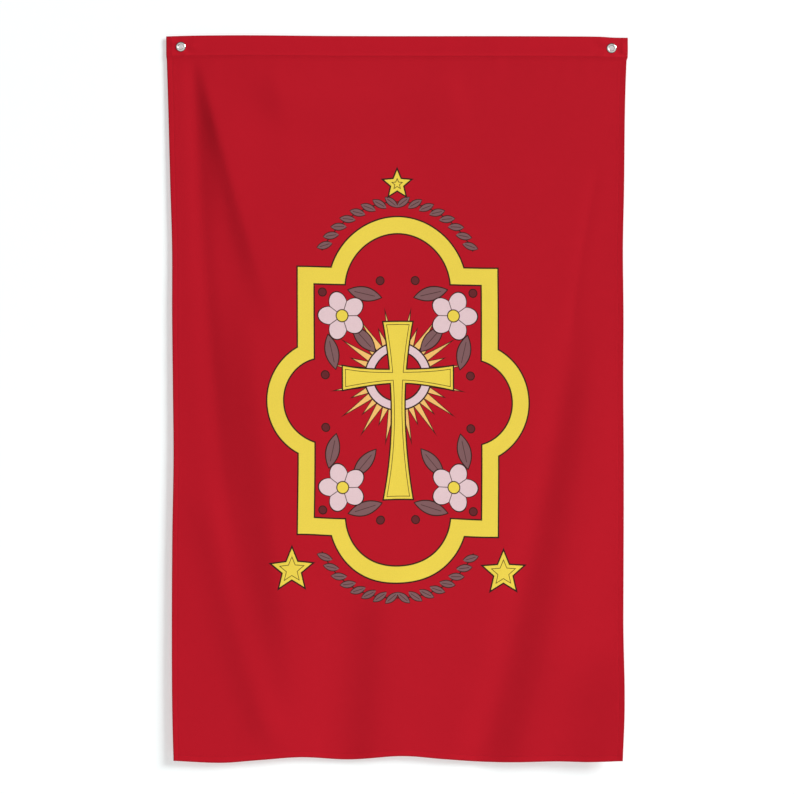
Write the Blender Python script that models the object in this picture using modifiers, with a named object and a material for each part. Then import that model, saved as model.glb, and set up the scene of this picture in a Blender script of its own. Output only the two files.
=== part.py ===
"""A church banner: one tall red cloth, hemmed all round, that hangs by two eyelets in its heading.

Run it with blender --background --python part.py. Sizes are in metres.
X runs to the right as the front is seen, +Y goes back to the wall, and +Z is up. The origin is
the middle of the top edge, in the plane where the front of the cloth would hang if it were flat.
"""

import math
from collections import namedtuple

import bpy

# The cloth as it hangs, measured over its edges.
WIDTH = 0.876
HEIGHT = 1.376
HEADING = 0.038
SIDE_HEM = 0.012
BOTTOM_HEM = 0.013

# Thicknesses. A hem and the heading are turned to the back, so all of them share one front.
ONE_LAYER = 0.0011
HEM_LAYERS = 0.0019
HEADING_LAYERS = 0.0021
HEM_STEP = 0.002
GAP = 0.0003

# The mesh of the panel, between its hems.
PANEL_COLUMNS = 39
PANEL_ROWS = 42
HEADING_COLUMNS = 36
HEADING_ROWS = 2

# The eyelets. Heights are counted forward from the front of the heading.
EYELET_DROP = 0.0205
BORE = 0.00475
BARREL = 0.00535
FLANGE = 0.0094
FLANGE_FLAT_INNER = 0.0062
FLANGE_FLAT_OUTER = 0.0084
FLANGE_FRONT = 0.0015
EYELET_LIP = 0.0066
LIP_HEIGHT = 0.0007
WASHER_RADIUS = 0.0090
WASHER_HEIGHT = 0.0008
TURNED_STEPS = 32

Eyelet = namedtuple("Eyelet", "side across")
EYELETS = (
    Eyelet("left", -0.410),
    Eyelet("right", 0.407),
)

# How far the side edges of the panel have drawn in from half the width, by the drop below the top.
Side = namedtuple("Side", "drop left right")
SIDES = (
    Side(0.038, 0.0008, 0.0018),
    Side(0.140, 0.0040, 0.0055),
    Side(0.280, 0.0076, 0.0070),
    Side(0.400, 0.0110, 0.0093),
    Side(0.530, 0.0112, 0.0082),
    Side(0.660, 0.0125, 0.0089),
    Side(0.800, 0.0138, 0.0080),
    Side(0.950, 0.0115, 0.0080),
    Side(1.140, 0.0106, 0.0085),
    Side(1.280, 0.0114, 0.0076),
    Side(1.376, 0.0138, 0.0112),
)

# How far the top edge rises over the origin, and how far down the bottom hem hangs.
Top = namedtuple("Top", "across rise")
TOPS = (
    Top(-0.438, -0.0008),
    Top(-0.380, 0.0008),
    Top(-0.280, 0.0014),
    Top(-0.120, 0.0003),
    Top(0.160, 0.0000),
    Top(0.320, -0.0007),
    Top(0.385, -0.0014),
    Top(0.410, -0.0030),
    Top(0.438, -0.0034),
)
Bottom = namedtuple("Bottom", "across drop")
BOTTOMS = (
    Bottom(-0.438, 1.3755),
    Bottom(-0.345, 1.3793),
    Bottom(-0.270, 1.3742),
    Bottom(-0.190, 1.3691),
    Bottom(-0.098, 1.3738),
    Bottom(0.006, 1.3668),
    Bottom(0.090, 1.3728),
    Bottom(0.175, 1.3781),
    Bottom(0.310, 1.3757),
    Bottom(0.370, 1.3763),
    Bottom(0.438, 1.3735),
)

# The folds. Each follows a line from its top to its bottom, bowed sideways at the middle. left and
# right are the widths of its two flanks, spread is how much wider it is at its bottom, and depth is
# how far it goes back to the wall. fade_in and fade_out are shares of its length.
Fold = namedtuple(
    "Fold", "name x_top z_top x_bottom z_bottom bow left right depth fade_in fade_out spread"
)
FOLDS = (
    Fold("swell", 0.020, 0.010, 0.040, -1.376, 0.000, 0.200, 0.200, 0.0030, 0.00, 0.00, 1.0),
    Fold("valley_left", -0.386, -0.030, -0.256, -1.376, -0.023, 0.015, 0.012, 0.0018, 0.04, 0.60, 2.0),
    Fold("crest_upper", -0.350, -0.090, -0.326, -0.420, 0.000, 0.022, 0.060, -0.0030, 0.35, 0.55, 1.0),
    Fold("crest_diagonal", -0.376, -0.035, -0.205, -0.620, -0.004, 0.013, 0.180, -0.0064, 0.24, 0.42, 2.8),
    Fold("crest_left", -0.288, -0.380, -0.180, -1.376, 0.000, 0.068, 0.350, -0.0104, 0.30, 0.35, 0.75),
    Fold("crest_corner", -0.368, -0.780, -0.226, -1.376, -0.016, 0.034, 0.036, -0.0040, 0.35, 0.15, 1.0),
    Fold("dent_left", -0.232, -0.030, -0.196, -0.205, 0.000, 0.042, 0.300, -0.0050, 0.55, 0.55, 1.0),
    Fold("crease_top", 0.085, -0.045, 0.118, -0.210, 0.000, 0.080, 0.024, -0.0014, 0.40, 0.50, 1.0),
    Fold("valley_middle", -0.085, -0.950, -0.112, -1.376, 0.000, 0.065, 0.058, 0.0052, 0.45, 0.00, 1.0),
    Fold("crest_middle", -0.010, -0.980, -0.040, -1.376, 0.000, 0.040, 0.080, -0.0024, 0.40, 0.00, 1.0),
    Fold("crease_right", 0.386, -0.230, 0.325, -0.640, -0.008, 0.012, 0.010, 0.0008, 0.15, 0.30, 1.0),
    Fold("valley_right", 0.352, -0.440, 0.158, -1.376, 0.016, 0.030, 0.027, 0.0030, 0.30, 0.00, 1.2),
    Fold("crest_right", 0.392, -0.500, 0.238, -1.376, 0.022, 0.048, 0.080, -0.0054, 0.35, 0.00, 0.9),
    Fold("corner_right", 0.464, -1.100, 0.440, -1.376, 0.000, 0.115, 0.100, -0.0150, 0.50, 0.00, 1.0),
)

# Colours are linear, as the Principled BSDF takes them.
CLOTH_RED = (0.468, 0.0103, 0.0212, 1.0)
NICKEL = (0.62, 0.61, 0.57, 1.0)


def clear_scene():
    for obj in list(bpy.data.objects):
        bpy.data.objects.remove(obj, do_unlink=True)


def new_collection(name):
    collection = bpy.data.collections.new(name)
    bpy.context.scene.collection.children.link(collection)
    return collection


def new_material(name, colour, roughness, metallic):
    material = bpy.data.materials.new(name)
    material.use_nodes = True
    shader = material.node_tree.nodes["Principled BSDF"]
    shader.inputs["Base Color"].default_value = colour
    shader.inputs["Roughness"].default_value = roughness
    shader.inputs["Metallic"].default_value = metallic
    return material


def curve_through(points, place):
    """The height at a place of the smooth curve through some points, each (place, height)."""
    last = len(points) - 1
    place = min(max(place, points[0][0]), points[last][0])
    after = next(index for index in range(1, last + 1) if place <= points[index][0])

    def slope(index):
        left, right = points[max(index - 1, 0)], points[min(index + 1, last)]
        return (right[1] - left[1]) / (right[0] - left[0])

    start, start_height = points[after - 1]
    end, end_height = points[after]
    run = end - start
    along = (place - start) / run
    rest = 1 - along
    return (
        (1 + 2 * along) * rest * rest * start_height
        + (1 + 2 * rest) * along * along * end_height
        + along * rest * rest * run * slope(after - 1)
        - along * along * rest * run * slope(after)
    )


def ramp(share):
    """0 at a share of 0 or less, 1 at a share of 1 or more, and smooth between them."""
    share = min(max(share, 0.0), 1.0)
    return share * share * (3 - 2 * share)


def fold_depth(x, z):
    """How far the folds set the cloth back from its hanging plane, in metres."""
    depth = 0.0
    for fold in FOLDS:
        along = (fold.z_top - z) / (fold.z_top - fold.z_bottom)
        held = min(max(along, 0.0), 1.0)
        line = fold.x_top + (fold.x_bottom - fold.x_top) * held + fold.bow * 4 * held * (1 - held)
        flank = fold.left if x < line else fold.right
        flank *= 1 + (fold.spread - 1) * held
        strength = ramp(along / fold.fade_in) if fold.fade_in else 1.0
        strength *= ramp((1 - along) / fold.fade_out) if fold.fade_out else 1.0
        depth += fold.depth * strength * math.exp(-(((x - line) / flank) ** 2))
    return depth


def hang(across, drop, drawn_in):
    """Where a place on the flat cloth hangs. across runs from side to side and drop down it."""
    rise = curve_through([(row.across, row.rise) for row in TOPS], across)
    bottom = curve_through([(row.across, row.drop) for row in BOTTOMS], across)
    z = rise - (rise + bottom) * drop / HEIGHT
    x = across
    if drawn_in:
        left = curve_through([(row.drop, row.left) for row in SIDES], drop)
        right = curve_through([(row.drop, row.right) for row in SIDES], drop)
        share = across / WIDTH + 0.5
        x += left * (1 - share) - right * share
    return x, fold_depth(x, z), z


def even_lines(start, end, count):
    return [start + (end - start) * index / count for index in range(count + 1)]


def hung_sheet(name, across_lines, drop_lines, drawn_in, layers, material, collection):
    """A sheet with a vertex at each crossing of two sets of lines, made thick towards its back."""
    columns, rows = len(across_lines) - 1, len(drop_lines) - 1
    bpy.ops.mesh.primitive_grid_add(x_subdivisions=columns, y_subdivisions=rows, size=2)
    sheet = bpy.context.active_object
    sheet.name = sheet.data.name = name
    for other in list(sheet.users_collection):
        other.objects.unlink(sheet)
    collection.objects.link(sheet)
    hem = sheet.vertex_groups.new(name="hem")
    for vertex in sheet.data.vertices:
        across = across_lines[round((vertex.co.x + 1) / 2 * columns)]
        drop = drop_lines[round((1 - vertex.co.y) / 2 * rows)]
        in_side_hem = WIDTH / 2 - abs(across) <= SIDE_HEM + GAP
        if in_side_hem or HEIGHT - drop <= BOTTOM_HEM + GAP:
            hem.add([vertex.index], 1.0, "REPLACE")
        vertex.co = hang(across, drop, drawn_in)
    sheet.data.materials.append(material)
    solidify = sheet.modifiers.new("Layers", "SOLIDIFY")
    solidify.thickness = layers
    solidify.offset = -1
    solidify.use_even_offset = True
    return sheet, solidify


def build_panel(material, collection):
    """The cloth below the heading, with its side hems and its bottom hem turned to the back."""
    side = WIDTH / 2
    inside = side - SIDE_HEM - HEM_STEP
    across_lines = [-side, -side + SIDE_HEM]
    across_lines += even_lines(-inside, inside, PANEL_COLUMNS)
    across_lines += [side - SIDE_HEM, side]
    hem_top = HEIGHT - BOTTOM_HEM
    drop_lines = even_lines(HEADING + GAP / 2, hem_top - HEM_STEP, PANEL_ROWS)
    drop_lines += [hem_top, HEIGHT]
    panel, solidify = hung_sheet(
        "panel", across_lines, drop_lines, True, HEM_LAYERS, material, collection
    )
    solidify.vertex_group = "hem"
    solidify.thickness_vertex_group = ONE_LAYER / HEM_LAYERS
    return panel


def build_heading(material, collection, cutters):
    """The folded strip along the top, with a hole for each eyelet."""
    across_lines = even_lines(-WIDTH / 2, WIDTH / 2, HEADING_COLUMNS)
    drop_lines = even_lines(0.0, HEADING - GAP / 2, HEADING_ROWS)
    heading, _ = hung_sheet(
        "heading", across_lines, drop_lines, False, HEADING_LAYERS, material, collection
    )
    for eyelet in EYELETS:
        bpy.ops.mesh.primitive_cylinder_add(
            vertices=TURNED_STEPS,
            radius=BARREL + GAP,
            depth=6 * HEADING_LAYERS,
            location=hang(eyelet.across, EYELET_DROP, False),
            rotation=(math.radians(90), 0, 0),
        )
        cutter = bpy.context.active_object
        cutter.name = "hole_" + eyelet.side
        for other in list(cutter.users_collection):
            other.objects.unlink(cutter)
        cutters.objects.link(cutter)
        cutter.hide_render = True
        cutter.display_type = "WIRE"
        hole = heading.modifiers.new(cutter.name, "BOOLEAN")
        hole.operation = "DIFFERENCE"
        hole.solver = "EXACT"
        hole.object = cutter
    return heading


def turned(name, profile, location, material, collection):
    """A closed profile of (radius, height) points, turned about an axis that points forward."""
    mesh = bpy.data.meshes.new(name)
    count = len(profile)
    mesh.from_pydata(
        [(radius, 0.0, height) for radius, height in profile],
        [(index, (index + 1) % count) for index in range(count)],
        [],
    )
    piece = bpy.data.objects.new(name, mesh)
    collection.objects.link(piece)
    piece.location = location
    piece.rotation_euler = (math.radians(90), 0, 0)
    mesh.materials.append(material)
    screw = piece.modifiers.new("Turn", "SCREW")
    screw.axis = "Z"
    screw.angle = math.tau
    screw.steps = TURNED_STEPS
    screw.render_steps = TURNED_STEPS
    screw.use_merge_vertices = True
    screw.merge_threshold = 0.00001
    return piece


def eyelet_profile():
    """The front flange, the barrel through the heading and the washer, and the lip rolled over it."""
    corner = 0.0004
    lip_front = -(HEADING_LAYERS + WASHER_HEIGHT + 2 * GAP)
    lip_back = lip_front - LIP_HEIGHT
    return [
        (FLANGE_FLAT_INNER, FLANGE_FRONT),
        (FLANGE_FLAT_OUTER, FLANGE_FRONT),
        (FLANGE - corner / 2, FLANGE_FRONT - corner),
        (FLANGE, GAP + corner / 2),
        (FLANGE - corner / 2, GAP),
        (BARREL, GAP),
        (BARREL, lip_front),
        (EYELET_LIP - corner / 2, lip_front),
        (EYELET_LIP, (lip_front + lip_back) / 2),
        (EYELET_LIP - corner, lip_back),
        (BARREL, lip_back),
        (BORE, lip_front),
        (BORE, GAP + corner),
        (BORE + corner, FLANGE_FRONT - corner),
    ]


def washer_profile():
    """A flat ring with eased edges, behind the heading."""
    ease = 0.0002
    front = -(HEADING_LAYERS + GAP)
    back = front - WASHER_HEIGHT
    return [
        (BARREL + GAP, front),
        (WASHER_RADIUS - ease, front),
        (WASHER_RADIUS, front - ease),
        (WASHER_RADIUS, back + ease),
        (WASHER_RADIUS - ease, back),
        (BARREL + GAP, back),
    ]


clear_scene()
banner = new_collection("church_banner")
cutters = new_collection("cutters")
red_cloth = new_material("red_cloth", CLOTH_RED, 0.85, 0.0)
nickel = new_material("nickel", NICKEL, 0.22, 1.0)
build_panel(red_cloth, banner)
build_heading(red_cloth, banner, cutters)
for eyelet in EYELETS:
    place = hang(eyelet.across, EYELET_DROP, False)
    turned("eyelet_" + eyelet.side, eyelet_profile(), place, nickel, banner)
    turned("washer_" + eyelet.side, washer_profile(), place, nickel, banner)
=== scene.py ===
import math
from collections import namedtuple

import bpy
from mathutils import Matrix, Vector, noise


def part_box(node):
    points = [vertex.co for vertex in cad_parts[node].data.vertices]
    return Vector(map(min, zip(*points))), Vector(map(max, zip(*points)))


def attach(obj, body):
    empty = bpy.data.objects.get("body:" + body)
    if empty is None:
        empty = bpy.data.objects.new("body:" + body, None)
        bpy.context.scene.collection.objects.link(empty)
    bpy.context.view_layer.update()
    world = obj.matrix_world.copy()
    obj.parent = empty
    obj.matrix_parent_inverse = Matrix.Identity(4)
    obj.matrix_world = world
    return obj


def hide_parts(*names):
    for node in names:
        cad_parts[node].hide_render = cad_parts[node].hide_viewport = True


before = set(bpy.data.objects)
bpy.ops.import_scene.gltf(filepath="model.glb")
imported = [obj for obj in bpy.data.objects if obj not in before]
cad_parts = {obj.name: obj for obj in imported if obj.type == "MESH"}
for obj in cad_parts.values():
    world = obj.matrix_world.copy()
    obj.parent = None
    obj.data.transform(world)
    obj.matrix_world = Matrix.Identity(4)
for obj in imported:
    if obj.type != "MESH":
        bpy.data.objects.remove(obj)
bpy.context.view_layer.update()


# ---- The cloth -------------------------------------------------------------------------------------
# One length of red knitted polyester. Its side edges and its bottom are turned to the back and sewn
# once, and its top is folded over to the back as a stiff heading. It hangs by the heading's two
# eyelets, so folds fall from the top corners and the lower edge runs unevenly.

heading_low, heading_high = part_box("heading")
WIDTH = round(heading_high[0] - heading_low[0], 3)
HEIGHT = 1.376
SIDE_HEM = 0.012
SIDE_STITCH = 0.0106
BOTTOM_HEM = 0.013
BOTTOM_STITCH = 0.0116
HEADING_STITCH = 0.0388
HEADING_EDGE = 0.0402
TURN_STEP = 0.0008

ONE_LAYER = 0.0007
HEM_LAYERS = 0.0016
HEADING_LAYERS = 0.0020
HEADING_PROUD = 0.0008
HEADING_STEP = 0.006
STITCH_DIMPLE = 0.00025
HEM_PUFF = 0.00015
HEADING_PUFF = 0.0004
HEADING_PUFF_DROP, HEADING_PUFF_REACH = 0.0368, 0.0022
RIGHT_CURL = 0.0009
RIGHT_CURL_REACH = 0.004
SPACING = 0.0058

Eyelet = namedtuple("Eyelet", "side across")
EYELETS = tuple(
    Eyelet(side, (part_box("eyelet_" + side)[0][0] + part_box("eyelet_" + side)[1][0]) / 2)
    for side in ("left", "right")
)
EYELET_DROP = 0.0205
EYELET_HOLE = 0.0059
EYELET_DISH = 0.0004
EYELET_DISH_REACH = 0.011
EYELET_PUCKER = 0.0009
EYELET_PUCKER_PLACE, EYELET_PUCKER_REACH = 0.022, 0.010
EYELET_PUCKERS = 5

# How far each side edge has drawn in from half the width, by the drop below the top.
Side = namedtuple("Side", "drop left right")
SIDES = (
    Side(0.000, 0.0000, 0.0000),
    Side(0.037, 0.0002, 0.0003),
    Side(0.044, 0.0010, 0.0024),
    Side(0.140, 0.0040, 0.0055),
    Side(0.280, 0.0076, 0.0070),
    Side(0.400, 0.0110, 0.0093),
    Side(0.530, 0.0112, 0.0082),
    Side(0.660, 0.0125, 0.0089),
    Side(0.800, 0.0138, 0.0080),
    Side(0.950, 0.0115, 0.0080),
    Side(1.140, 0.0106, 0.0085),
    Side(1.280, 0.0114, 0.0076),
    Side(1.376, 0.0138, 0.0112),
)

# How far the top edge rises over the origin, and how far down the bottom edge hangs.
Top = namedtuple("Top", "across rise")
TOPS = (
    Top(-0.438, -0.0008),
    Top(-0.380, 0.0008),
    Top(-0.280, 0.0014),
    Top(-0.120, 0.0003),
    Top(0.160, 0.0000),
    Top(0.320, -0.0007),
    Top(0.385, -0.0014),
    Top(0.410, -0.0030),
    Top(0.438, -0.0034),
)
Bottom = namedtuple("Bottom", "across drop")
BOTTOMS = (
    Bottom(-0.438, 1.3755),
    Bottom(-0.345, 1.3793),
    Bottom(-0.270, 1.3742),
    Bottom(-0.190, 1.3691),
    Bottom(-0.098, 1.3738),
    Bottom(0.006, 1.3668),
    Bottom(0.090, 1.3728),
    Bottom(0.175, 1.3781),
    Bottom(0.310, 1.3757),
    Bottom(0.370, 1.3763),
    Bottom(0.438, 1.3735),
)

# The folds. Each follows a line from its top to its bottom, bowed sideways at the middle. left and
# right are the widths of its two flanks, spread is how much wider it is at its bottom, and depth is
# how far it goes back to the wall. fade_in and fade_out are shares of its length.
Fold = namedtuple(
    "Fold", "name x_top z_top x_bottom z_bottom bow left right depth fade_in fade_out spread"
)
FOLDS = (
    Fold("swell", 0.020, 0.010, 0.040, -1.376, 0.000, 0.200, 0.200, 0.0030, 0.00, 0.00, 1.0),
    Fold("valley_left", -0.386, -0.030, -0.256, -1.376, -0.023, 0.015, 0.012, 0.0018, 0.04, 0.60, 2.0),
    Fold("crest_upper", -0.350, -0.090, -0.326, -0.420, 0.000, 0.022, 0.060, -0.0030, 0.35, 0.55, 1.0),
    Fold("crest_diagonal", -0.376, -0.035, -0.205, -0.620, -0.004, 0.013, 0.180, -0.0064, 0.24, 0.42, 2.8),
    Fold("crest_left", -0.288, -0.380, -0.180, -1.376, 0.000, 0.068, 0.350, -0.0104, 0.30, 0.35, 0.75),
    Fold("crest_corner", -0.368, -0.780, -0.226, -1.376, -0.016, 0.034, 0.036, -0.0040, 0.35, 0.15, 1.0),
    Fold("dent_left", -0.232, -0.030, -0.196, -0.205, 0.000, 0.042, 0.300, -0.0050, 0.55, 0.55, 1.0),
    Fold("crease_top", 0.085, -0.045, 0.118, -0.210, 0.000, 0.080, 0.024, -0.0014, 0.40, 0.50, 1.0),
    Fold("valley_middle", -0.085, -0.950, -0.112, -1.376, 0.000, 0.065, 0.058, 0.0052, 0.45, 0.00, 1.0),
    Fold("crest_middle", -0.010, -0.980, -0.040, -1.376, 0.000, 0.040, 0.080, -0.0024, 0.40, 0.00, 1.0),
    Fold("crease_right", 0.386, -0.230, 0.325, -0.640, -0.008, 0.012, 0.010, 0.0008, 0.15, 0.30, 1.0),
    Fold("valley_right", 0.352, -0.440, 0.158, -1.376, 0.016, 0.030, 0.027, 0.0030, 0.30, 0.00, 1.2),
    Fold("crest_right", 0.392, -0.500, 0.238, -1.376, 0.022, 0.048, 0.080, -0.0054, 0.35, 0.00, 0.9),
    Fold("corner_right", 0.464, -1.100, 0.440, -1.376, 0.000, 0.115, 0.100, -0.0150, 0.50, 0.00, 1.0),
)


# Small uneven waves on the folds, by where they are. Each has its depth and how closely its waves
# follow each other across the cloth and down it.
Ripple = namedtuple("Ripple", "where depth across down seed")
RIPPLES = (
    Ripple("cloth", 0.0004, 9, 5, 3.1),
    Ripple("heading seam", 0.0004, 46, 10, 7.7),
    Ripple("side hem", 0.0003, 10, 42, 1.3),
    Ripple("bottom hem", 0.0004, 42, 10, 5.9),
)


def curve_through(points, place):
    """The height at a place of the smooth curve through some points, each (place, height)."""
    last = len(points) - 1
    place = min(max(place, points[0][0]), points[last][0])
    after = next(index for index in range(1, last + 1) if place <= points[index][0])

    def slope(index):
        left, right = points[max(index - 1, 0)], points[min(index + 1, last)]
        return (right[1] - left[1]) / (right[0] - left[0])

    start, start_height = points[after - 1]
    end, end_height = points[after]
    run = end - start
    along = (place - start) / run
    rest = 1 - along
    return (
        (1 + 2 * along) * rest * rest * start_height
        + (1 + 2 * rest) * along * along * end_height
        + along * rest * rest * run * slope(after - 1)
        - along * along * rest * run * slope(after)
    )


def ramp(share):
    """0 at a share of 0 or less, 1 at a share of 1 or more, and smooth between them."""
    share = min(max(share, 0.0), 1.0)
    return share * share * (3 - 2 * share)


def hump(distance, reach):
    return math.exp(-((distance / reach) ** 2))


def fold_depth(x, z):
    """How far the folds set the cloth back from its hanging plane."""
    depth = 0.0
    for fold in FOLDS:
        along = (fold.z_top - z) / (fold.z_top - fold.z_bottom)
        held = min(max(along, 0.0), 1.0)
        line = fold.x_top + (fold.x_bottom - fold.x_top) * held + fold.bow * 4 * held * (1 - held)
        flank = fold.left if x < line else fold.right
        flank *= 1 + (fold.spread - 1) * held
        strength = ramp(along / fold.fade_in) if fold.fade_in else 1.0
        strength *= ramp((1 - along) / fold.fade_out) if fold.fade_out else 1.0
        depth += fold.depth * strength * hump(x - line, flank)
    return depth


def layers(side, drop):
    """How thick the turned cloth is, at a distance from its side edge and a drop from its top."""
    side_hem = 1 - ramp((side - SIDE_HEM) / TURN_STEP)
    bottom_hem = 1 - ramp((HEIGHT - drop - BOTTOM_HEM) / TURN_STEP)
    heading = 1 - ramp((drop - HEADING_EDGE) / TURN_STEP)
    hem = ONE_LAYER + (HEM_LAYERS - ONE_LAYER) * max(side_hem, bottom_hem)
    return max(hem, ONE_LAYER + (HEADING_LAYERS - ONE_LAYER) * heading)


def seam_marks(side, drop):
    """The dimple that each row of stitches pulls into a face of the cloth."""
    below = ramp((drop - HEADING_STITCH) / 0.004)
    marks = hump(side - SIDE_STITCH, 0.0012) * below
    marks += hump(HEIGHT - drop - BOTTOM_STITCH, 0.0012)
    marks += hump(drop - HEADING_STITCH, 0.0012)
    return STITCH_DIMPLE * marks


def hang(across, drop):
    """The places of the front and the back of the cloth, for a place on it when it is flat."""
    rise = curve_through([(row.across, row.rise) for row in TOPS], across)
    bottom = curve_through([(row.across, row.drop) for row in BOTTOMS], across)
    left = curve_through([(row.drop, row.left) for row in SIDES], drop)
    right = curve_through([(row.drop, row.right) for row in SIDES], drop)
    share = across / WIDTH + 0.5
    x = across + left * (1 - share) - right * share
    z = rise - (rise + bottom) * drop / HEIGHT

    side = WIDTH / 2 - abs(across)
    below = ramp((drop - HEADING_STITCH) / HEADING_STEP)
    front = fold_depth(x, z) + HEADING_PROUD * below
    strengths = {
        "cloth": below,
        "heading seam": hump(drop - 0.05, 0.03),
        "side hem": hump(side, 0.02) * below,
        "bottom hem": hump(HEIGHT - drop, 0.02),
    }
    for ripple in RIPPLES:
        wave = noise.noise(Vector((across * ripple.across, drop * ripple.down, ripple.seed)))
        front += ripple.depth * wave * strengths[ripple.where]
    front -= HEM_PUFF * math.sin(math.pi * min(side / SIDE_STITCH, 1)) * below
    front -= HEM_PUFF * math.sin(math.pi * min((HEIGHT - drop) / BOTTOM_STITCH, 1))
    front -= HEADING_PUFF * hump(drop - HEADING_PUFF_DROP, HEADING_PUFF_REACH)
    if across > 0:
        front -= RIGHT_CURL * hump(side, RIGHT_CURL_REACH) * below
    thickness = layers(side, drop)
    for eyelet in EYELETS:
        reach = math.hypot(across - eyelet.across, drop - EYELET_DROP)
        turn = math.atan2(drop - EYELET_DROP, across - eyelet.across)
        pucker = EYELET_PUCKER * hump(reach - EYELET_PUCKER_PLACE, EYELET_PUCKER_REACH)
        within = ramp(drop / 0.012) * (1 - ramp((drop - 0.030) / 0.010))
        front += pucker * math.sin(EYELET_PUCKERS * turn - 1.4) * within
        dish = EYELET_DISH * hump(reach, EYELET_DISH_REACH)
        front += dish
        thickness -= dish

    marks = seam_marks(side, drop)
    middle = front + thickness / 2
    edge = min(side, drop, HEIGHT - drop)
    round_edge = math.sqrt(1 - (1 - min(max(edge, 0.0) / (thickness / 2), 1)) ** 2)
    half = max(thickness / 2 - marks, 0.0002) * round_edge
    return Vector((x, middle - half, z)), Vector((x, middle + half, z))


def even_lines(stations, spacing):
    """Lines through some stations, in order, with even steps of about the spacing between them."""
    lines = [stations[0]]
    for start, end in zip(stations, stations[1:]):
        steps = max(round((end - start) / spacing), 1)
        lines += [start + (end - start) * step / steps for step in range(1, steps + 1)]
    return lines


# The lines of the mesh crowd together at its edges and seams. Those of a hem are counted from its
# edge, and those of the heading from the top.
EDGE_LINES = (0.0, 0.0001, 0.00035, 0.0008)
SIDE_LINES = (*EDGE_LINES, 0.0020, 0.0035, 0.0070, 0.0094, 0.0106, 0.0116, 0.0121, 0.0126)
BOTTOM_LINES = (*EDGE_LINES, 0.0035, 0.0070, 0.0104, 0.0116, 0.0130, 0.0138)
TOP_LINES = (0.0, 0.0001, 0.0004)
SEAM_LINES = (0.0332, 0.0343, 0.0353, 0.0363, 0.0372, 0.0380, 0.0388, 0.0397, 0.0403, 0.0410, 0.0430)
inner_side = WIDTH / 2 - 0.0150
across_lines = [-WIDTH / 2 + line for line in SIDE_LINES]
across_lines += even_lines([-inner_side, *(eyelet.across for eyelet in EYELETS), inner_side], SPACING)
across_lines += [WIDTH / 2 - line for line in reversed(SIDE_LINES)]
drop_lines = list(TOP_LINES)
drop_lines += even_lines([0.0010, EYELET_DROP, 0.0315], 0.0050)
drop_lines += SEAM_LINES
drop_lines += even_lines([0.0460, HEIGHT - 0.0165], SPACING)
drop_lines += [HEIGHT - line for line in reversed(BOTTOM_LINES)]

last_column, last_row = len(across_lines) - 1, len(drop_lines) - 1
hole_columns = [across_lines.index(eyelet.across) for eyelet in EYELETS]
hole_row = drop_lines.index(EYELET_DROP)

vertices = []
flat_places = []
front_index = {}
back_index = {}
for row, drop in enumerate(drop_lines):
    for column, across in enumerate(across_lines):
        flat = (across, drop)
        for hole in hole_columns:
            off = (column - hole, row - hole_row)
            if off == (0, 0):
                flat = None
            elif max(abs(off[0]), abs(off[1])) == 1:
                turn = math.atan2(off[1], off[0])
                flat = (
                    across_lines[hole] + EYELET_HOLE * math.cos(turn),
                    EYELET_DROP + EYELET_HOLE * math.sin(turn),
                )
        if flat is None:
            continue
        front, back = hang(*flat)
        front_index[column, row] = len(vertices)
        vertices.append(front)
        flat_places.append(flat)
        if 0 < column < last_column and 0 < row < last_row:
            back_index[column, row] = len(vertices)
            vertices.append(back)
            flat_places.append(flat)
        else:
            back_index[column, row] = front_index[column, row]

faces = []
is_back = []
for row in range(last_row):
    for column in range(last_column):
        corners = [(column, row), (column, row + 1), (column + 1, row + 1), (column + 1, row)]
        if any(corner not in front_index for corner in corners):
            continue
        faces.append([front_index[corner] for corner in corners])
        faces.append([back_index[corner] for corner in reversed(corners)])
        is_back += [0, 1]
ring = [(-1, -1), (-1, 0), (-1, 1), (0, 1), (1, 1), (1, 0), (1, -1), (0, -1)]
for hole in hole_columns:
    for start, end in zip(ring, ring[1:] + ring[:1]):
        start = (hole + start[0], hole_row + start[1])
        end = (hole + end[0], hole_row + end[1])
        faces.append([front_index[end], front_index[start], back_index[start], back_index[end]])
        is_back.append(1)

mesh = bpy.data.meshes.new("banner_cloth")
mesh.from_pydata(vertices, [], faces)
mesh.polygons.foreach_set("material_index", is_back)
mesh.shade_smooth()

# The map "cut" holds each corner's place on the flat cloth in metres. The map "OFBake" lays the front
# and the back side by side, with more room for the middle of each, where the print is.
PRINT_ACROSS = 0.270
PRINT_TOP, PRINT_BOTTOM = 0.26, 1.12
PRINT_SHARE = 0.80


def bake_share(place, low, high, start, end):
    """Where a place from start to end comes in 0 to 1, if low to high takes PRINT_SHARE of it."""
    rest = (1 - PRINT_SHARE) / (low - start + end - high)
    if place < low:
        return (place - start) * rest
    if place > high:
        return 1 - (end - place) * rest
    return (low - start) * rest + (place - low) / (high - low) * PRINT_SHARE


cut_map = mesh.uv_layers.new(name="cut")
bake_layer = mesh.uv_layers.new(name="OFBake")
for face, backward in zip(mesh.polygons, is_back):
    for corner in face.loop_indices:
        across, drop = flat_places[mesh.loops[corner].vertex_index]
        cut_map.data[corner].uv = (across, -drop)
        u = bake_share(across, -PRINT_ACROSS, PRINT_ACROSS, -WIDTH / 2, WIDTH / 2)
        v = bake_share(drop, PRINT_TOP, PRINT_BOTTOM, 0.0, HEIGHT)
        u = 0.63 + 0.365 * u if backward else 0.005 + 0.605 * u
        bake_layer.data[corner].uv = (u, 0.995 - 0.99 * v)

cloth = bpy.data.objects.new("banner_cloth", mesh)
bpy.context.scene.collection.objects.link(cloth)


# The finish of the cloth: dyed red, with a fine knit, and a design printed on its front. The print
# shows faintly through on the back, which is paler, but the turned hems are as red as the front.

RED = (0.463, 0.0050, 0.0160, 1.0)
REVERSE_RED = (0.505, 0.045, 0.060, 1.0)
KNIT_PITCH = 0.0011
# How far in from the edges of the cloth the painted edge shade reaches.
EDGE_SHADE_REACH = 0.0030


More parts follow.
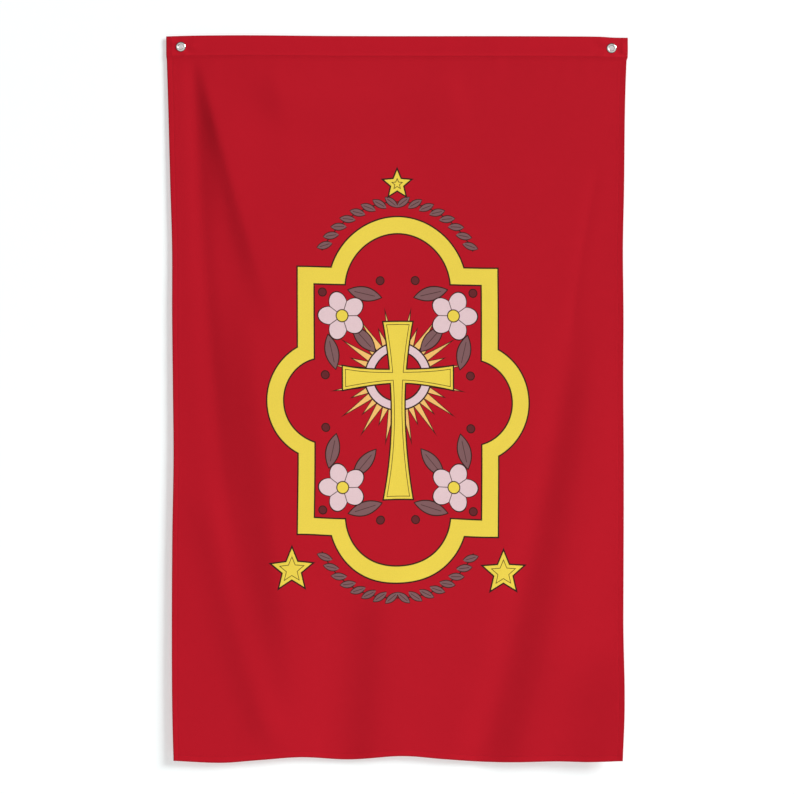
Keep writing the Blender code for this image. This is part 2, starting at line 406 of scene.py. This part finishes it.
class Flow:
    """A value in a material. Python's operators on it add Math nodes."""

    def __init__(self, tree, socket=None):
        self.tree = tree
        self.socket = socket

    def node(self, kind, settings=(), inputs=(), output=0):
        """Any node: its type, its settings, and the values or links of its sockets."""
        made = self.tree.nodes.new("ShaderNode" + kind)
        for name, setting in dict(settings).items():
            setattr(made, name, setting)
        for name, value in dict(inputs).items():
            if isinstance(value, Flow):
                self.tree.links.new(value.socket, made.inputs[name])
            else:
                made.inputs[name].default_value = value
        return Flow(self.tree, made.outputs[output])

    def math(self, operation, *others):
        return self.node("Math", {"operation": operation}, dict(enumerate((self, *others))))

    def clamped(self):
        return self.node("Clamp", {}, {"Value": self})

    def axis(self, number):
        """One coordinate of a vector, 0 for x, 1 for y or 2 for z."""
        return self.node("SeparateXYZ", {}, {0: self}, output=number)

    def covered(self, cover, share):
        """This colour with another one laid over it by a share."""
        return self.node("Mix", {"data_type": "RGBA"}, {0: share, 6: self, 7: cover}, output=2)

    def __add__(self, other):
        return self.math("ADD", other)

    def __sub__(self, other):
        return self.math("SUBTRACT", other)

    def __rsub__(self, other):
        return self.node("Math", {"operation": "SUBTRACT"}, {0: other, 1: self})

    def __mul__(self, other):
        return self.math("MULTIPLY", other)

    def __truediv__(self, other):
        return self.math("DIVIDE", other)

    def __abs__(self):
        return self.math("ABSOLUTE")

    __radd__ = __add__
    __rmul__ = __mul__


def new_material(name, roughness, metallic=0.0):
    material = bpy.data.materials.new(name)
    material.use_nodes = True
    shader = material.node_tree.nodes["Principled BSDF"]
    shader.inputs["Roughness"].default_value = roughness
    shader.inputs["Metallic"].default_value = metallic
    return material, shader, Flow(material.node_tree)


def feed(shader, name, flow):
    flow.tree.links.new(flow.socket, shader.inputs[name])


def plain(flow, colour):
    """One colour, to lay others over."""
    start = flow.node("RGB")
    start.socket.default_value = colour
    return start


def smaller(first, *others):
    for other in others:
        first = first.math("MINIMUM", other)
    return first


def larger(first, *others):
    for other in others:
        first = first.math("MAXIMUM", other)
    return first


def radius_of(x, y):
    return (x * x + y * y).math("SQRT")


# The print is a generic emblem: a quatrefoil band round a flared cross with rays, four flowers with
# leaves and berries, leaf sprays over and under the band, and stars. Every shape is a signed
# distance in metres, below 0 inside it, and is filled and then outlined. x and y are counted from
# the middle of the emblem. aside and level are the same but never below 0, so what is drawn with
# them comes in all four quarters.

EMBLEM_DROP = 0.695
SOFT_EDGE = 0.0006
OUTLINE = 0.0028
INK = (0.030, 0.010, 0.008, 1.0)
GOLD = (0.830, 0.640, 0.075, 1.0)
PINK = (0.760, 0.565, 0.590, 1.0)
APRICOT = (0.880, 0.515, 0.155, 1.0)
MAUVE = (0.205, 0.102, 0.107, 1.0)
MAROON = (0.127, 0.019, 0.023, 1.0)


def inside(distance):
    """1 inside a shape and 0 outside it, with a soft edge."""
    return (0.5 - distance / SOFT_EDGE).clamped()


def inked(colour, distance, fill, outline=OUTLINE):
    """A shape printed over a colour, with its outline."""
    colour = colour.covered(fill, inside(distance))
    return colour.covered(INK, inside(abs(distance) - outline / 2))


def lined(colour, distance, within):
    """A thin line where a distance is 0 or less, drawn only within a shape."""
    return colour.covered(INK, inside(distance) * inside(within))


LOBE_RISE, LOBE_RADIUS = 0.215, 0.135
SIDE_LOBE_OUT, SIDE_LOBE_RADIUS = 0.140, 0.115
BOX_ASIDE, BOX_LEVEL = 0.195, 0.255
BAND_WIDTH = 0.033


def band(colour, aside, level):
    """A tall box with a round lobe on each of its four sides, drawn as a band."""
    box = larger(aside - BOX_ASIDE, level - BOX_LEVEL)
    lobe = radius_of(aside, level - LOBE_RISE) - LOBE_RADIUS
    side_lobe = radius_of(aside - SIDE_LOBE_OUT, level) - SIDE_LOBE_RADIUS
    outer = smaller(box, lobe, side_lobe)
    return inked(colour, abs(outer + BAND_WIDTH / 2) - BAND_WIDTH / 2, GOLD)


def leaf(x, y, centre, turn, half_length, half_width):
    """A pointed leaf and its middle vein."""
    cos, sin = math.cos(turn), math.sin(turn)
    x, y = x - centre[0], y - centre[1]
    along, aside = x * cos + y * sin, abs(y * cos - x * sin)
    bulge = 1 - along * along / half_length**2
    return aside - bulge * half_width, larger(aside - 0.0005, abs(along) - half_length * 0.6)


SPRAY_RADIUS = 0.163
SPRAY_LEAVES = 8
SPRAY_PITCH = 0.140
SPRAY_LEAN = math.radians(42)
SPRAY_LEAF_LENGTH, SPRAY_LEAF_WIDTH = 0.0165, 0.0068
SPRAY_STEM = 0.0010


def sprays(colour, aside, level):
    """A stem round the upper and the lower lobe, with leaves to each side of its middle."""
    radius = radius_of(aside, level - LOBE_RISE)
    turn = aside.math("ARCTAN2", level - LOBE_RISE)
    past_end = turn - SPRAY_LEAVES * SPRAY_PITCH
    along = ((turn / SPRAY_PITCH).math("FRACT") - 0.5) * radius * SPRAY_PITCH
    centre = (0.0, SPRAY_RADIUS)
    blade, vein = leaf(along, radius, centre, SPRAY_LEAN, SPRAY_LEAF_LENGTH, SPRAY_LEAF_WIDTH)
    stem = larger(abs(radius - SPRAY_RADIUS) - SPRAY_STEM, past_end)
    colour = colour.covered(INK, inside(stem))
    colour = inked(colour, larger(blade, past_end), MAUVE, 0.0016)
    return lined(colour, vein, larger(blade, past_end))


GLORY_RISE = 0.045
HALO_RADIUS, HALO_WIDTH = 0.056, 0.017
RAYS = 16
RAY_FOOT, RAY_FOOT_WIDTH = 0.055, 0.015
LONG_RAY, SHORT_RAY = 0.128, 0.098


def glory(colour, x, y):
    """Long and short rays by turns, round a halo."""
    radius = radius_of(x, y)
    turn = y.math("ARCTAN2", x) / math.tau
    for shift, reach in ((0.0, LONG_RAY), (0.5, SHORT_RAY)):
        off = abs((turn * RAYS + shift).math("FRACT") - 0.5) * radius * math.tau / RAYS
        half_width = (reach - radius) * (RAY_FOOT_WIDTH / 2 / (reach - RAY_FOOT))
        colour = inked(colour, larger(off - half_width, RAY_FOOT - radius), APRICOT, 0.0014)
    return inked(colour, abs(radius - HALO_RADIUS) - HALO_WIDTH / 2, PINK)


CROSS_DROP = 0.020
CROSS_WAIST = 0.027
CROSS_HALF_HEIGHT, CROSS_FLARE = 0.170, 0.55
ARM_LENGTH, ARM_FLARE = 0.108, 0.90
CROSS_LINE_IN = 0.0062


def cross(colour, aside, y):
    """A cross whose four ends flare, with a thin line inside its edge."""
    upright = y + CROSS_DROP
    bar = aside - upright * upright * CROSS_FLARE - CROSS_WAIST / 2
    bar = larger(bar, abs(upright) - CROSS_HALF_HEIGHT)
    arms = abs(y - GLORY_RISE) - aside * aside * ARM_FLARE - CROSS_WAIST / 2
    arms = larger(arms, aside - ARM_LENGTH)
    edge = smaller(bar, arms)
    return lined(inked(colour, edge, GOLD), abs(edge + CROSS_LINE_IN) - 0.0006, edge)


Leaf = namedtuple("Leaf", "aside level turn")
LEAVES = (
    Leaf(0.064, 0.204, 0.25),
    Leaf(0.128, 0.094, 1.35),
    Leaf(0.066, 0.118, 0.85),
)
LEAF_LENGTH, LEAF_WIDTH = 0.034, 0.013
FLOWER_ASIDE, FLOWER_LEVEL = 0.108, 0.163
PETAL_NOTCH, PETAL_LENGTH = 0.029, 0.018
FLOWER_EYE = 0.0115
Berry = namedtuple("Berry", "aside level")
BERRIES = (
    Berry(0.146, 0.207),
    Berry(0.141, 0.050),
    Berry(0.034, 0.228),
)
BERRY_RADIUS = 0.0078


def flowers(colour, aside, level):
    """In each quarter a flower of five petals, with leaves and berries round it."""
    for row in LEAVES:
        blade, vein = leaf(aside, level, (row.aside, row.level), row.turn, LEAF_LENGTH, LEAF_WIDTH)
        colour = inked(colour, blade, MAUVE, 0.0022)
        colour = lined(colour, vein, blade)
    x, y = aside - FLOWER_ASIDE, level - FLOWER_LEVEL
    radius = radius_of(x, y)
    petal = abs((y.math("ARCTAN2", x) * 2.5).math("COSINE"))
    edge = radius - petal * PETAL_LENGTH - PETAL_NOTCH
    colour = inked(colour, edge, PINK, 0.0024)
    colour = lined(colour, petal * radius * 0.4 - 0.0007, edge)
    colour = inked(colour, radius - FLOWER_EYE, GOLD, 0.0020)
    for row in BERRIES:
        berry = radius_of(aside - row.aside, level - row.level) - BERRY_RADIUS
        colour = inked(colour, berry, MAROON, 0.0018)
    return colour


def star(x, y, reach):
    """A star of five points. Its sides are folded into one, from a point to a notch."""
    turn = math.tau / 5
    notch = 0.45 * reach
    run = (notch * math.cos(turn / 2) - reach, notch * math.sin(turn / 2))
    out = (run[1] / math.hypot(*run), -run[0] / math.hypot(*run))
    angle = x.math("ARCTAN2", y) / turn + 0.5
    angle = abs(angle.math("FRACT") - 0.5) * turn
    radius = radius_of(x, y)
    return (radius * angle.math("COSINE") - reach) * out[0] + radius * angle.math("SINE") * out[1]


LOW_STAR_ASIDE, LOW_STAR_DROP, LOW_STAR = 0.205, 0.322, 0.044
TOP_STAR_RISE, TOP_STAR = 0.412, 0.030
STAR_LINE_IN = 0.0075


def stars(colour, x, y):
    """Two large stars low at the sides and a small one over the middle."""
    low = star(abs(x) - LOW_STAR_ASIDE, y + LOW_STAR_DROP, LOW_STAR)
    edge = smaller(low, star(x, y - TOP_STAR_RISE, TOP_STAR))
    return lined(inked(colour, edge, GOLD), abs(edge + STAR_LINE_IN) - 0.0006, edge)


def emblem(colour, cut):
    """The whole print over a colour, read from the flat places of the cloth."""
    x, y = cut.axis(0), cut.axis(1) + EMBLEM_DROP
    aside, level = abs(x), abs(y)
    colour = band(colour, aside, level)
    colour = sprays(colour, aside, level)
    colour = glory(colour, x, y - GLORY_RISE)
    colour = cross(colour, aside, y)
    colour = flowers(colour, aside, level)
    return stars(colour, x, y)


def knit(cut):
    """The height of the knit: fine upright ribs of loops, 0 to 1, with some fuzz."""
    rib = abs((cut.axis(0) * (math.pi / KNIT_PITCH)).math("SINE"))
    loop = (cut.axis(1) * (math.tau / (KNIT_PITCH * 0.8))).math("SINE") * 0.25 + 0.5
    fuzz = cut.node("TexNoise", {}, {"Vector": cut, "Scale": 900.0, "Detail": 2.0})
    return rib * 0.5 + loop * 0.3 + fuzz * 0.4


def seams(cut):
    """The distance from the nearest row of stitches, where the cloth is turned, and a mask along its edges
    where painted shade darkens it.
    """
    drop = 0 - cut.axis(1)
    side = WIDTH / 2 - abs(cut.axis(0))
    below = HEIGHT - drop
    rows = smaller(abs(side - SIDE_STITCH), abs(below - BOTTOM_STITCH), abs(drop - HEADING_STITCH))
    turned = smaller(side - SIDE_HEM, below - BOTTOM_HEM, drop - HEADING_EDGE)
    edge = (1 - smaller(side, below, drop) / EDGE_SHADE_REACH).clamped()
    return rows, inside(turned), edge


GHOST_PRINT = 0.22
# The knit, stitch and edge shares are painted shade. The cloud, speck and turned shares are the cloth's
# own tone.
CLOUD_SHADE, SPECK_SHADE, KNIT_PAINTED_SHADE = 0.05, 0.12, 0.05
STITCH_PAINTED_SHADE, EDGE_PAINTED_SHADE, TURNED_SHADE = 0.06, 0.25, 0.035

for name, backward in (("cloth_front", False), ("cloth_back", True)):
    material, shader, flow = new_material(name, 0.82)
    cut = flow.node("UVMap", {"uv_map": "cut"})
    rows, turned, edge = seams(cut)
    red = plain(flow, RED)
    if backward:
        paler = plain(flow, REVERSE_RED)
        colour = paler.covered(emblem(paler, cut), GHOST_PRINT).covered(red, turned)
    else:
        colour = emblem(red, cut)

    # The dye is a little uneven, and turned cloth lets less light through and looks brighter. The hollows
    #     # of the knit, the rows of stitches and the folded edges are painted darker: painted shade.
    cloud = flow.node("TexNoise", {}, {"Vector": cut, "Scale": 14.0, "Detail": 3.0})
    speck = flow.node("TexNoise", {}, {"Vector": cut, "Scale": 420.0, "Detail": 1.0})
    height = knit(cut)
    tone_and_painted_shade = 1 + (cloud - 0.5) * CLOUD_SHADE + (speck - 0.5) * SPECK_SHADE
    # The knit's height also darkens the colour in its hollows: painted shade.
    tone_and_painted_shade = tone_and_painted_shade + (height - 0.55) * KNIT_PAINTED_SHADE + turned * TURNED_SHADE
    # The cloth is painted darker along the rows of stitches, as painted shade in their dimples, and at its
    # folded edges, as painted shade.
    tone_and_painted_shade = tone_and_painted_shade - inside(rows - 0.0006) * STITCH_PAINTED_SHADE - edge * EDGE_PAINTED_SHADE
    tone_and_shade_rgb = flow.node("CombineXYZ", {}, {0: tone_and_painted_shade, 1: tone_and_painted_shade, 2: tone_and_painted_shade})
    colour = flow.node("VectorMath", {"operation": "MULTIPLY"}, {0: colour, 1: tone_and_shade_rgb})
    feed(shader, "Base Color", colour)
    feed(shader, "Roughness", (speck - 0.5) * 0.12 + 0.82)

    # The knit, and short puckers across each seam, where the thread draws the cloth together.
    near = (1 - rows / 0.009).clamped()
    stretch = flow.node("TexNoise", {}, {"Vector": cut, "Scale": 130.0, "Detail": 2.0})
    pucker = flow.node(
        "Bump", {}, {"Strength": 0.45, "Distance": 0.0012, "Height": stretch * near * near}
    )
    bump = flow.node(
        "Bump", {}, {"Strength": 0.35, "Distance": 0.00012, "Height": height, "Normal": pucker}
    )
    feed(shader, "Normal", bump)
    shader.inputs["Sheen Weight"].default_value = 0.03
    shader.inputs["Sheen Roughness"].default_value = 0.45
    shader.inputs["Specular IOR Level"].default_value = 0.12
    mesh.materials.append(material)

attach(cloth, "root")
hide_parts("panel", "heading")


# ---- The stitches ----------------------------------------------------------------------------------
# One row of lockstitch in red thread holds each side hem, the bottom hem and the heading. Each stitch
# stands a little proud in its dimple and dives into the cloth at both ends, on the front and the back.

STITCH_PITCH = 0.0031
STITCH_LENGTH = 0.0025
THREAD = 0.00042

bpy.ops.object.select_all(action="DESELECT")
bpy.ops.mesh.primitive_uv_sphere_add(
    segments=6, ring_count=6, radius=1.0, rotation=(0, math.radians(90), 0)
)
pattern = bpy.context.active_object
bpy.ops.object.transform_apply(location=False, rotation=True, scale=False)
stitch_points = []
for vertex in pattern.data.vertices:
    along, aside, up = vertex.co
    arch = 0.5 * THREAD * (1 - 2.2 * along * along)
    stitch_points.append((along * STITCH_LENGTH / 2, aside * THREAD / 2, up * THREAD / 2 + arch))
stitch_faces = [tuple(face.vertices) for face in pattern.data.polygons]
bpy.data.objects.remove(pattern, do_unlink=True)

bottom_row = HEIGHT - BOTTOM_STITCH
side_row = WIDTH / 2 - SIDE_STITCH
Row = namedtuple("Row", "start end")
STITCH_ROWS = (
    Row((-side_row, HEADING_STITCH + STITCH_PITCH), (-side_row, HEIGHT - 0.002)),
    Row((side_row, HEADING_STITCH + STITCH_PITCH), (side_row, HEIGHT - 0.002)),
    Row((-WIDTH / 2 + 0.002, bottom_row), (WIDTH / 2 - 0.002, bottom_row)),
    Row((-WIDTH / 2 + 0.002, HEADING_STITCH), (WIDTH / 2 - 0.002, HEADING_STITCH)),
)

thread_material, shader, flow = new_material("red_thread", 0.55)
place = flow.node("TexCoord", output=3)
ply = flow.node("TexNoise", {}, {"Vector": place, "Scale": 2400.0, "Detail": 1.0})
dark_thread = plain(flow, (0.300, 0.0040, 0.0110, 1.0))
feed(shader, "Base Color", dark_thread.covered((0.430, 0.0060, 0.0160, 1.0), ply))
feed(shader, "Roughness", ply * 0.2 + 0.55)
shader.inputs["Specular IOR Level"].default_value = 0.20

for name, face, outward, shift in (("front", 0, -1, 0.0), ("back", 1, 1, 0.5)):
    vertices = []
    faces = []
    for row in STITCH_ROWS:
        run = math.dist(row.start, row.end)
        count = int(run / STITCH_PITCH)
        for number in range(count):
            ends = []
            for step in (-0.5, 0.5):
                share = ((number + 0.5 + shift) * STITCH_PITCH + step * STITCH_LENGTH) / run
                across = row.start[0] + (row.end[0] - row.start[0]) * share
                drop = row.start[1] + (row.end[1] - row.start[1]) * share
                ends.append(hang(across, drop)[face])
            middle = (ends[0] + ends[1]) / 2
            along = (ends[1] - ends[0]).normalized()
            out = Vector((0, outward, 0))
            aside = along.cross(out).normalized()
            out = aside.cross(along).normalized()
            first = len(vertices)
            for point in stitch_points:
                vertices.append(middle + along * point[0] + aside * point[1] + out * point[2])
            for corners in stitch_faces:
                faces.append([first + corner for corner in corners])
    mesh = bpy.data.meshes.new("stitches_" + name)
    mesh.from_pydata(vertices, [], faces)
    mesh.shade_smooth()
    mesh.materials.append(thread_material)
    stitches = bpy.data.objects.new("stitches_" + name, mesh)
    bpy.context.scene.collection.objects.link(stitches)
    bpy.context.view_layer.objects.active = stitches
    stitches.select_set(True)
    bpy.ops.object.mode_set(mode="EDIT")
    bpy.ops.mesh.select_all(action="SELECT")
    bpy.ops.mesh.normals_make_consistent(inside=False)
    bpy.ops.object.mode_set(mode="OBJECT")
    stitches.select_set(False)
    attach(stitches, "root")


# ---- The eyelets and their washers -----------------------------------------------------------------
# Nickel-plated pressed brass. The eyelet's domed flange lies on the front of the heading, its barrel
# goes through the cloth and a flat washer at the back, and its end is rolled out over the washer.

BORE = 0.00475
BARREL = 0.00530
FLANGE = 0.0094
WASHER_OUTER = 0.0090
TURN_STEPS = 72
SEAT = 0.0002
LIP = HEADING_LAYERS + 0.0011
WASHER_FRONT = HEADING_LAYERS - 0.0004

Turned = namedtuple("Turned", "radius back")
EYELET_PROFILE = (
    Turned(BORE, LIP - 0.0001),
    Turned(BORE, -0.0002),
    Turned(BORE + 0.00012, -0.00072),
    Turned(BORE + 0.00055, -0.00112),
    Turned(BORE + 0.00125, -0.00130),
    Turned(0.0069, -0.00128),
    Turned(0.0078, -0.00108),
    Turned(0.0086, -0.00072),
    Turned(0.0092, -0.00028),
    Turned(FLANGE, SEAT - 0.00012),
    Turned(FLANGE - 0.00008, SEAT),
    Turned(0.0088, -0.00018),
    Turned(0.0078, -0.00068),
    Turned(0.0066, -0.00090),
    Turned(0.0058, -0.00086),
    Turned(BARREL + 0.0001, -0.00045),
    Turned(BARREL, 0.0),
    Turned(BARREL, LIP - 0.0005),
    Turned(BARREL + 0.00035, LIP - 0.0002),
    Turned(0.0062, LIP - 0.0001),
    Turned(0.0066, LIP + 0.0002),
    Turned(0.0062, LIP + 0.0006),
    Turned(0.0055, LIP + 0.0005),
    Turned(BORE + 0.0002, LIP + 0.0002),
)
WASHER_PROFILE = (
    Turned(BARREL + 0.0002, WASHER_FRONT + 0.0001),
    Turned(BARREL + 0.0002, WASHER_FRONT + 0.0008),
    Turned(0.0060, WASHER_FRONT + 0.00098),
    Turned(0.0078, WASHER_FRONT + 0.00088),
    Turned(0.0087, WASHER_FRONT + 0.00062),
    Turned(WASHER_OUTER, WASHER_FRONT + 0.0003),
    Turned(WASHER_OUTER - 0.0001, WASHER_FRONT + 0.0001),
    Turned(0.0086, WASHER_FRONT),
)


def turned_piece(name, profile, centre):
    """A closed profile, drawn by extruding one vertex from point to point and then spun round."""
    bpy.ops.object.select_all(action="DESELECT")
    first = profile[0]
    bpy.ops.mesh.primitive_plane_add(size=0.001, location=(0, 0, 0))
    piece = bpy.context.active_object
    piece.name = piece.data.name = name
    bpy.ops.object.mode_set(mode="EDIT")
    bpy.ops.mesh.select_all(action="SELECT")
    bpy.ops.mesh.merge(type="CENTER")
    bpy.ops.transform.translate(value=(centre[0] + first.radius, centre[1] + first.back, centre[2]))
    for here, there in zip(profile, profile[1:] + profile[:1]):
        step = (there.radius - here.radius, there.back - here.back, 0)
        bpy.ops.mesh.extrude_region_move(TRANSFORM_OT_translate={"value": step})
    bpy.ops.mesh.select_all(action="SELECT")
    bpy.ops.mesh.remove_doubles(threshold=0.00001)
    bpy.ops.mesh.spin(
        steps=TURN_STEPS, angle=math.tau, center=centre, axis=(0, 1, 0), use_auto_merge=False
    )
    bpy.ops.mesh.select_all(action="SELECT")
    bpy.ops.mesh.remove_doubles(threshold=0.00001)
    bpy.ops.mesh.normals_make_consistent(inside=False)
    bpy.ops.object.mode_set(mode="OBJECT")
    bpy.ops.object.transform_apply(location=True, rotation=True, scale=True)
    piece.data.shade_smooth()
    smooth = piece.modifiers.new("Round", "SUBSURF")
    smooth.levels = 1
    smooth.render_levels = 1
    bpy.ops.object.modifier_apply(modifier=smooth.name)
    piece.select_set(False)
    return piece


nickel, shader, flow = new_material("nickel_plate", 0.20, 1.0)
place = flow.node("TexCoord", output=3)
stain = flow.node("TexNoise", {}, {"Vector": place, "Scale": 260.0, "Detail": 3.0})
scratch = flow.node("TexNoise", {}, {"Vector": place, "Scale": 1900.0, "Detail": 2.0})
bright = plain(flow, (0.780, 0.765, 0.730, 1.0))
dull = (0.560, 0.540, 0.500, 1.0)
# The colour and the mask below paint shade and a dark reflection onto the steep slopes of the eyelets and
# washers: their rims and their bore.
painted_rim_dark = (0.070, 0.062, 0.055, 1.0)
wear = ((stain - 0.52) * 5).clamped()
facing = abs(flow.node("NewGeometry", output=1).axis(1))
painted_rim_shade = ((0.96 - facing) * 6).clamped()
feed(shader, "Base Color", bright.covered(dull, wear).covered(painted_rim_dark, painted_rim_shade))
feed(shader, "Roughness", wear * 0.10 + scratch * 0.12 + 0.10)
feed(shader, "Normal", flow.node("Bump", {}, {"Strength": 0.15, "Distance": 0.00004, "Height": scratch}))

for eyelet in EYELETS:
    centre = hang(eyelet.across, EYELET_DROP)[0]
    centre.y = fold_depth(centre.x, centre.z)
    bright_eyelet = turned_piece("bright_eyelet_" + eyelet.side, EYELET_PROFILE, centre)
    bright_washer = turned_piece("bright_washer_" + eyelet.side, WASHER_PROFILE, centre)
    for piece, node in ((bright_eyelet, "eyelet_"), (bright_washer, "washer_")):
        piece.data.materials.clear()
        piece.data.materials.append(nickel)
        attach(piece, "root")
        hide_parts(node + eyelet.side)


# ---- The stage -------------------------------------------------------------------------------------
# A white wall close behind the banner, which leans a little away from its foot, and a pale floor well
# below. From behind, the wall lets the view and the light through. A large soft lamp stands at the
# upper right, and metal reflects a bright room with a dark ceiling.

WALL_TOP_GAP = 0.007
WALL_FOOT_GAP = 0.020
WALL_SIZE = 7.0
FLOOR_DROP = 2.6

bpy.ops.object.select_all(action="DESELECT")
lean = math.atan2(WALL_FOOT_GAP - WALL_TOP_GAP, HEIGHT)
bpy.ops.mesh.primitive_plane_add(
    size=WALL_SIZE,
    location=(0, (WALL_TOP_GAP + WALL_FOOT_GAP) / 2, -HEIGHT / 2),
    rotation=(math.radians(90) + lean, 0, 0),
)
wall = bpy.context.active_object
wall.name = "wall"
bpy.ops.mesh.primitive_plane_add(size=WALL_SIZE, location=(0, 0, -FLOOR_DROP))
floor = bpy.context.active_object
floor.name = "floor"

wall_material, shader, flow = new_material("wall_paint", 0.9)
shader.inputs["Base Color"].default_value = (0.555, 0.605, 0.605, 1.0)
shader.inputs["Emission Color"].default_value = (1.0, 1.0, 1.0, 1.0)
shader.inputs["Emission Strength"].default_value = 0.47
seen = flow.node("LightPath", output=0)
front = 1 - flow.node("NewGeometry", output=6)
painted = Flow(flow.tree, shader.outputs[0])
clear = flow.node("BsdfTransparent")
shown = flow.node("MixShader", {}, {0: seen * front, 1: clear, 2: painted})
feed(flow.tree.nodes["Material Output"], "Surface", shown)
wall.data.materials.append(wall_material)

floor_material, shader, flow = new_material("floor_paint", 0.8)
shader.inputs["Base Color"].default_value = (0.72, 0.71, 0.70, 1.0)
floor.data.materials.append(floor_material)


def soft_light(name, place, size, power):
    """A square lamp that points at the middle of the banner."""
    lamp = bpy.data.lights.new(name, "AREA")
    lamp.size = size
    lamp.energy = power
    holder = bpy.data.objects.new(name, lamp)
    bpy.context.scene.collection.objects.link(holder)
    holder.location = place
    aim = Vector((0, 0, -HEIGHT / 2)) - Vector(place)
    holder.rotation_euler = aim.to_track_quat("-Z", "Y").to_euler()


soft_light("key", (17.3, -13.2, 9.4), 9.1, 6950.0)
soft_light("rear", (-9.0, 8.0, 5.0), 4.0, 1500.0)

world = bpy.data.worlds.new("studio")
bpy.context.scene.world = world
world.use_nodes = True
background = world.node_tree.nodes["Background"]
flow = Flow(world.node_tree)
height = flow.node("TexCoord", output=0).axis(2)
ceiling = (height * 3 - 0.9).clamped()
mirrored = flow.node("LightPath", output=3)
seen = flow.node("LightPath", output=0)
background.inputs["Color"].default_value = (1.0, 1.0, 1.0, 1.0)
feed(background, "Strength", (0.60 - ceiling * 0.55) * mirrored + seen * 0.55 + 0.20)
bpy.context.scene.view_settings.view_transform = "Standard"

CAMERA_DISTANCE = 4.0
VIEW_WIDTH = 1.506
camera_data = bpy.data.cameras.new("camera")
camera_data.sensor_width = 36.0
camera_data.lens = 36.0 * CAMERA_DISTANCE / VIEW_WIDTH
camera = bpy.data.objects.new("camera", camera_data)
bpy.context.scene.collection.objects.link(camera)
camera.location = (0.0, -CAMERA_DISTANCE, -0.685)
camera.rotation_euler = (math.radians(90), 0, 0)
bpy.context.scene.camera = camera
